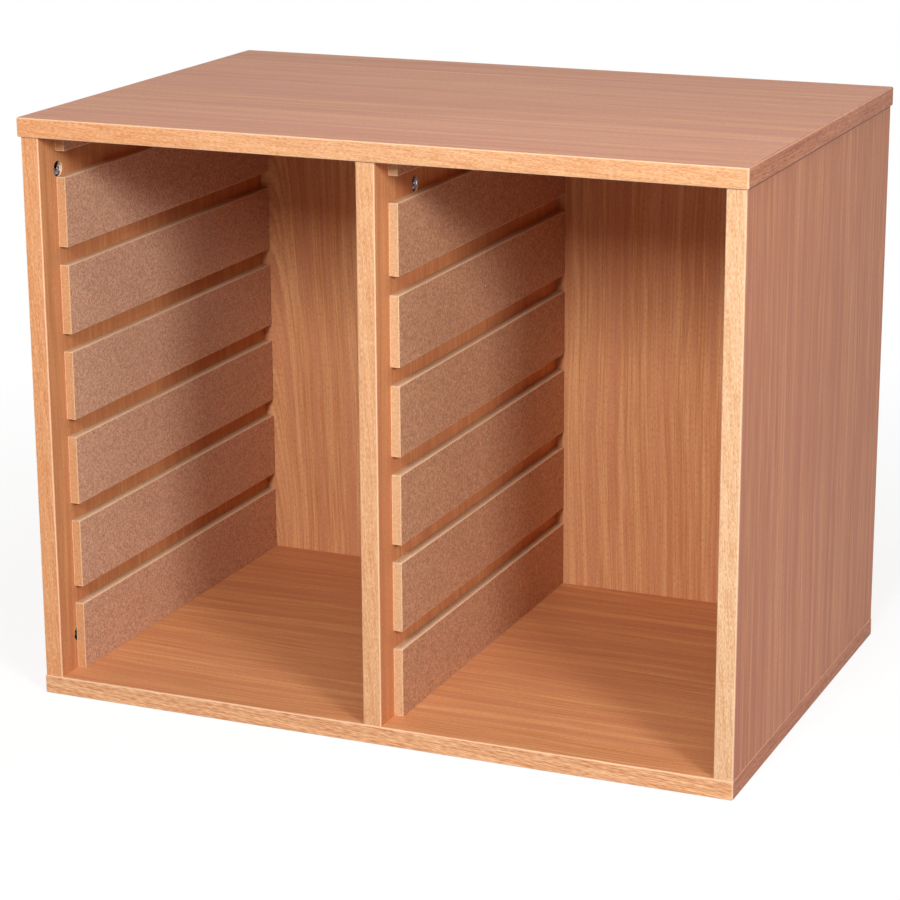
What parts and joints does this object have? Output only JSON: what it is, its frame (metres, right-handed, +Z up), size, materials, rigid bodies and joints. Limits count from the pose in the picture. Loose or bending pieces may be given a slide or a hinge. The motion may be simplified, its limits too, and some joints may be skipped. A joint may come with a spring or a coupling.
{
  "type": "drawer storage carcass",
  "caption": "Open-fronted beech-effect storage carcass with a centre divider and MDF runner strips that carry shallow slide-in trays or drawers.",
  "frame": {"origin": "centre of the rectangle that the carcass covers on the floor, on its underside", "axes": "+Z up, -Y out of the open front, +X to the right seen from the front"},
  "size_m": [0.6944, 0.463, 0.558],
  "materials": {
    "beech_melamine": "satin melamine with a beech print",
    "beech_edging": "satin ABS edging with a flecked beech print",
    "mdf": "raw MDF, with paler cut edges",
    "zinc_die_cast": "zinc die casting",
    "zinc_plated_steel": "bright zinc plate",
    "beech_dowel": "raw turned beech",
    "bright_steel": "bright wire"
  },
  "bodies": {
    "root": {"top_panel": "beech_melamine", "bottom_panel": "beech_melamine", "left_side_panel": "beech_melamine", "right_side_panel": "beech_melamine", "centre_divider": "beech_melamine", "back_panel": "beech_melamine", "top_front_edging": "beech_edging", "top_back_edging": "beech_edging", "top_left_edging": "beech_edging", "top_right_edging": "beech_edging", "bottom_front_edging": "beech_edging", "bottom_back_edging": "beech_edging", "bottom_left_edging": "beech_edging", "bottom_right_edging": "beech_edging", "left_side_front_edging": "beech_edging", "left_side_back_edging": "beech_edging", "right_side_front_edging": "beech_edging", "right_side_back_edging": "beech_edging", "centre_divider_front_edging": "beech_edging", "left_bay_left_runner_1": "mdf", "left_bay_left_runner_2": "mdf", "left_bay_left_runner_3": "mdf", "left_bay_left_runner_4": "mdf", "left_bay_left_runner_5": "mdf", "left_bay_left_runner_6": "mdf", "left_bay_left_runner_7": "mdf", "left_bay_right_runner_1": "mdf", "left_bay_right_runner_2": "mdf", "left_bay_right_runner_3": "mdf", "left_bay_right_runner_4": "mdf", "left_bay_right_runner_5": "mdf", "left_bay_right_runner_6": "mdf", "left_bay_right_runner_7": "mdf", "right_bay_left_runner_1": "mdf", "right_bay_left_runner_2": "mdf", "right_bay_left_runner_3": "mdf", "right_bay_left_runner_4": "mdf", "right_bay_left_runner_5": "mdf", "right_bay_left_runner_6": "mdf", "right_bay_left_runner_7": "mdf", "right_bay_right_runner_1": "mdf", "right_bay_right_runner_2": "mdf", "right_bay_right_runner_3": "mdf", "right_bay_right_runner_4": "mdf", "right_bay_right_runner_5": "mdf", "right_bay_right_runner_6": "mdf", "right_bay_right_runner_7": "mdf", "cam_locks": "zinc_die_cast", "connecting_bolts": "zinc_plated_steel", "wooden_dowels": "beech_dowel", "runner_pins": "bright_steel"}
  },
  "joints": []
}
